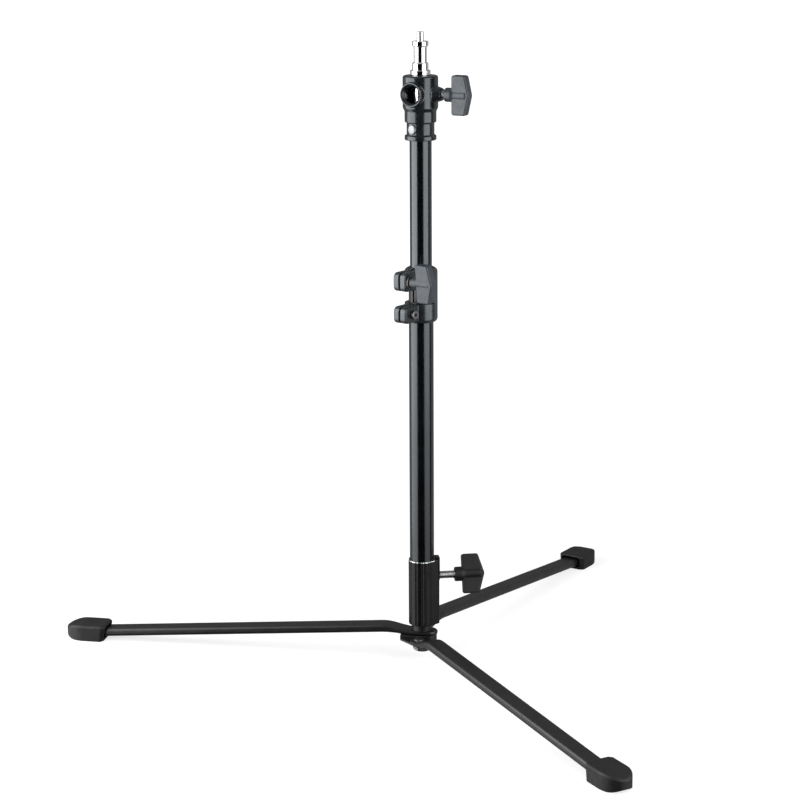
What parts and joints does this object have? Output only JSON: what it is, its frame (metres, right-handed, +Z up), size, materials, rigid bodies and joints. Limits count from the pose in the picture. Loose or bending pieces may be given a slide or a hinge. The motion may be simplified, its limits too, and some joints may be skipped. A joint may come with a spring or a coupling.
{
  "type": "backdrop stand",
  "caption": "Low folding floor stand for a backdrop or background light: flat-bar legs, lift-out telescopic column with a clamp collar, and a T-knob head with a spigot.",
  "frame": {"origin": "on the floor, at the middle of the footprint of the open stand", "axes": "+Z up along the column; the fixed leg points to -X and slightly to +Y, the folding legs to +X on either side"},
  "size_m": [0.5908, 0.6854, 0.65],
  "materials": {
    "leg_black": "satin black powder coat",
    "rivet_dark": "blackened steel",
    "zinc": "dull zinc plate",
    "rubber": "matt black rubber",
    "sleeve_black": "satin black paint, bare bevel at the rim",
    "base_knob_plastic": "fine-grained dark grey nylon",
    "tube_anodised": "black anodised, glossy",
    "plastic_black": "moulded black",
    "collar_paint": "semi-gloss dark paint on a casting",
    "head_paint": "semi-gloss dark paint on a casting",
    "knob_plastic": "fine-grained blue-grey nylon",
    "steel_bright": "bright zinc-plated screw",
    "chrome": "polished chrome plate",
    "pad_brass": "turned brass"
  },
  "bodies": {
    "base": {"hub_plate": "leg_black", "hub_bolt": "zinc", "hub_washer": "zinc", "hub_spring_washer": "zinc", "leg_left": "leg_black", "foot_left": "rubber", "leg_rivet_rear": "rivet_dark", "leg_rivet_front": "rivet_dark", "base_sleeve": "sleeve_black", "sleeve_plug": "sleeve_black"},
    "rear_leg": {"leg_rear": "leg_black", "foot_rear": "rubber"},
    "front_leg": {"leg_front": "leg_black", "foot_front": "rubber"},
    "base_screw_pad": {"base_knob_pad": "pad_brass"},
    "base_screw": {"base_knob": "base_knob_plastic", "base_knob_stud": "steel_bright"},
    "lower_column": {"lower_tube": "tube_anodised", "clamp_collar": "collar_paint", "collar_liner": "plastic_black", "clamp_nut": "zinc", "lock_screw": "steel_bright", "lock_nut": "zinc"},
    "clamp_screw_washer": {"clamp_washer": "rivet_dark"},
    "clamp_screw": {"clamp_knob": "knob_plastic", "clamp_stud": "steel_bright"},
    "upper_column_plug": {"upper_tube_plug": "plastic_black"},
    "upper_column": {"upper_tube": "tube_anodised", "head_casting": "head_paint", "head_rivet": "chrome"},
    "head_screw_pad": {"head_knob_pad": "pad_brass"},
    "head_screw": {"head_knob": "knob_plastic", "head_knob_stud": "steel_bright"},
    "spigot": {"spigot": "chrome"}
  },
  "joints": [
    {"name": "rear_leg_fold", "type": "hinge", "parent": "base", "child": "rear_leg", "pos_m": [0.08573, 0.02482, 0.0251], "axis": [0, 0, 1], "range_deg": [0, 109]},
    {"name": "front_leg_fold", "type": "hinge", "parent": "base", "child": "front_leg", "pos_m": [0.08468, -0.01515, 0.0251], "axis": [0, 0, 1], "range_deg": [-127, 0]},
    {"name": "base_screw_travel", "type": "slide", "parent": "base", "child": "base_screw_pad", "axis": [0.9903, 0.1392, 0], "range_m": [0, 0.0025]},
    {"name": "base_screw_turn", "type": "hinge", "parent": "base_screw_pad", "child": "base_screw", "pos_m": [0.0883, 0.00476, 0.0907], "axis": [0.9903, 0.1392, 0], "range_deg": [0, 748]},
    {"name": "column_lift", "type": "slide", "parent": "base", "child": "lower_column", "axis": [0, 0, 1], "range_m": [0, 0.07]},
    {"name": "clamp_screw_travel", "type": "slide", "parent": "lower_column", "child": "clamp_screw_washer", "axis": [0.7986, -0.6018, 0], "range_m": [0, 0.002]},
    {"name": "clamp_screw_turn", "type": "hinge", "parent": "clamp_screw_washer", "child": "clamp_screw", "pos_m": [0.07145, -0.01761, 0.4057], "axis": [0.7986, -0.6018, 0], "range_deg": [0, 748]},
    {"name": "upper_column_slide", "type": "slide", "parent": "lower_column", "child": "upper_column_plug", "axis": [0, 0, 1], "range_m": [-0.126, 0.14]},
    {"name": "upper_column_swivel", "type": "hinge", "parent": "upper_column_plug", "child": "upper_column", "pos_m": [0.0883, 0.00476, 0.4162], "axis": [0, 0, 1], "continuous": true},
    {"name": "head_screw_travel", "type": "slide", "parent": "upper_column", "child": "head_screw_pad", "axis": [0.866, -0.5, 0], "range_m": [0, 0.0025]},
    {"name": "head_screw_turn", "type": "hinge", "parent": "head_screw_pad", "child": "head_screw", "pos_m": [0.0883, 0.00476, 0.5898], "axis": [0.866, -0.5, 0], "range_deg": [0, 748]},
    {"name": "spigot_lift", "type": "slide", "parent": "upper_column", "child": "spigot", "axis": [0, 0, 1], "range_m": [0, 0.045]}
  ],
  "couplings": [
    {"joint": "base_screw_turn", "follows": "base_screw_travel", "rad_per_m": 5026.5},
    {"joint": "clamp_screw_turn", "follows": "clamp_screw_travel", "rad_per_m": 6283.2},
    {"joint": "head_screw_turn", "follows": "head_screw_travel", "rad_per_m": 5026.5}
  ]
}
